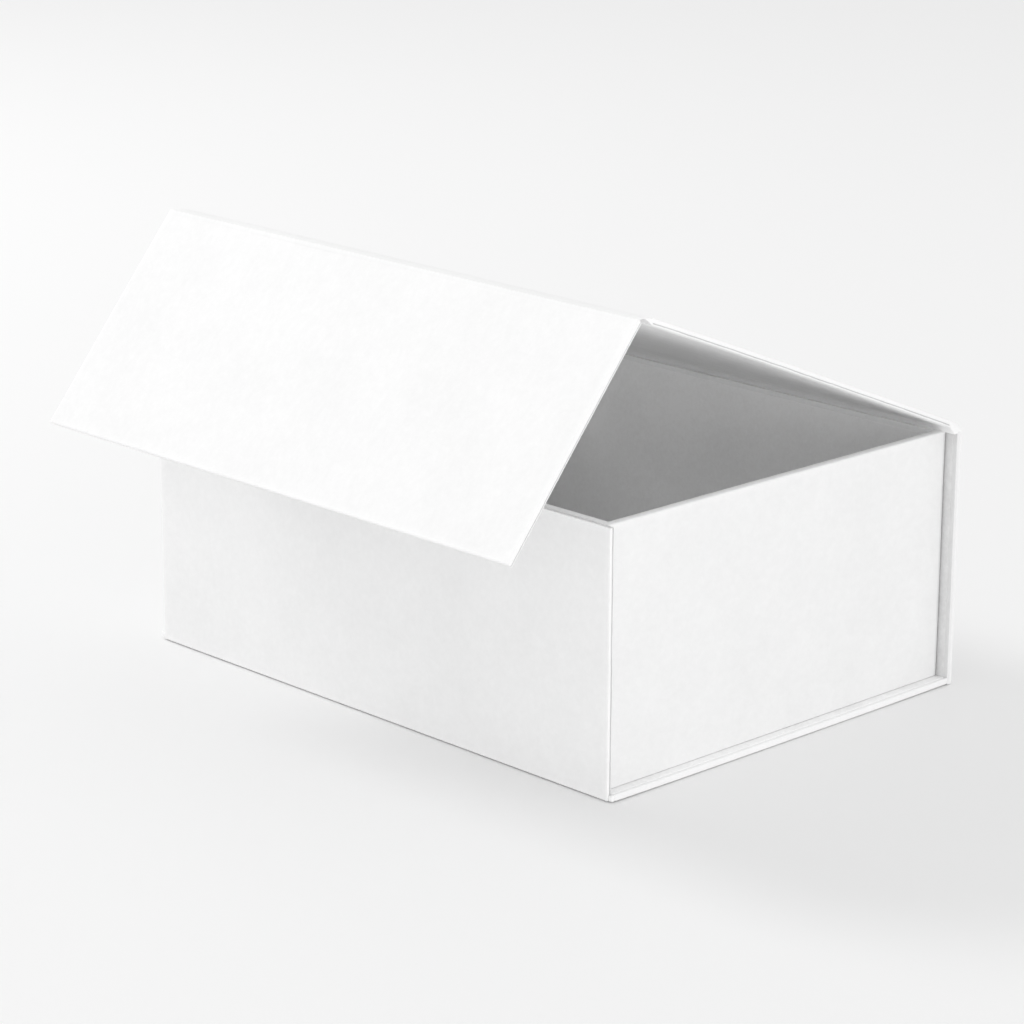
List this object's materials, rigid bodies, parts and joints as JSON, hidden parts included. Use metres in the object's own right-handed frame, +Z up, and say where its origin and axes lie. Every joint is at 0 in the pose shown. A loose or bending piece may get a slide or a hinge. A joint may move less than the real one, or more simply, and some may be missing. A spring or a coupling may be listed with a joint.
{
  "type": "magnetic-closure rigid gift box",
  "caption": "White paper-wrapped rigid gift box in book style: an open tray in a case whose hinged lid carries a hinged front flap with hidden magnets.",
  "frame": {"origin": "centre of the underside of the case base, where it rests on the table", "axes": "+X along both hinges, towards the right end seen from the front; -Y towards the front panel; +Z up"},
  "size_m": [0.22, 0.2082, 0.1524],
  "materials": {
    "greyboard": "matt grey board, hidden under the papers",
    "wrap_paper": "matt white wrapping paper with a fine fibre texture",
    "lining_paper": "matt white lining paper",
    "tape_paper": "thin tape, hidden",
    "magnet_metal": "nickel-plated disc, hidden"
  },
  "bodies": {
    "box": {"base_board": "greyboard", "base_wrap": "wrap_paper", "base_lining": "lining_paper", "front_fold": "wrap_paper", "back_fold": "wrap_paper", "spine_board": "greyboard", "spine_wrap": "wrap_paper", "spine_lining": "lining_paper", "spine_hinge_strip": "wrap_paper", "front_panel_board": "greyboard", "front_panel_wrap": "wrap_paper", "wall_magnets": "magnet_metal", "tray_front_board": "greyboard", "tray_back_board": "greyboard", "tray_left_board": "greyboard", "tray_right_board": "greyboard", "tray_floor_board": "greyboard", "corner_stays": "tape_paper", "tray_wrap": "wrap_paper", "tray_lining": "lining_paper", "tray_floor_lining": "lining_paper", "base_tapes": "tape_paper", "front_tapes": "tape_paper", "back_tapes": "tape_paper"},
    "lid": {"lid_board": "greyboard", "lid_wrap": "wrap_paper", "lid_lining": "lining_paper", "lid_rear_hinge_strip": "wrap_paper", "lid_front_hinge_strip": "wrap_paper"},
    "flap": {"flap_board": "greyboard", "flap_magnets": "magnet_metal", "flap_wrap": "wrap_paper", "flap_lining": "lining_paper", "flap_hinge_strip": "wrap_paper"}
  },
  "joints": [
    {"name": "lid_hinge", "type": "hinge", "parent": "box", "child": "lid", "pos_m": [0, 0.0815, 0.0902], "axis": [-1, 0, 0], "range_deg": [-22, 178]},
    {"name": "flap_hinge", "type": "hinge", "parent": "lid", "child": "flap", "pos_m": [0, -0.07204, 0.15223], "axis": [1, 0, 0], "range_deg": [-72.5, 17.5]}
  ]
}
